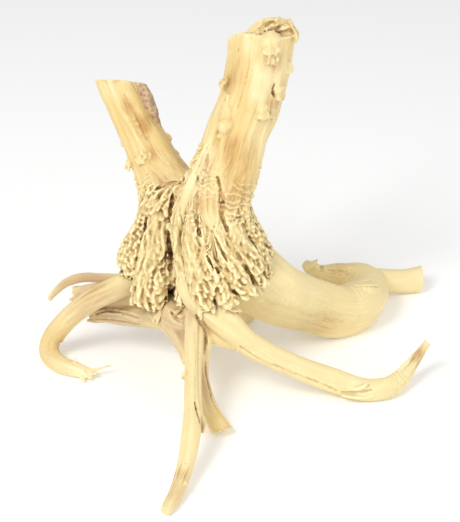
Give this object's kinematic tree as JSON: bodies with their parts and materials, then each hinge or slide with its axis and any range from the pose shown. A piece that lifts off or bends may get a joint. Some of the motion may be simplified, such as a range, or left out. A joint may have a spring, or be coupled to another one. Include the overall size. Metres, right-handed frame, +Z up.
{
  "type": "piece of spiderwood",
  "caption": "Branching root wood: two sawn stems rise in a V from a knobbly burl that stands on curved, spreading roots.",
  "frame": {"origin": "middle of the piece's plan, on the floor that its roots stand on", "axes": "+Z up, +X to the right of the pictured front, +Y to the back"},
  "size_m": [0.306, 0.3018, 0.2637],
  "materials": {
    "wood": "bare, dry, stripped of its bark"
  },
  "bodies": {
    "root": {"spiderwood": "wood"}
  },
  "joints": []
}
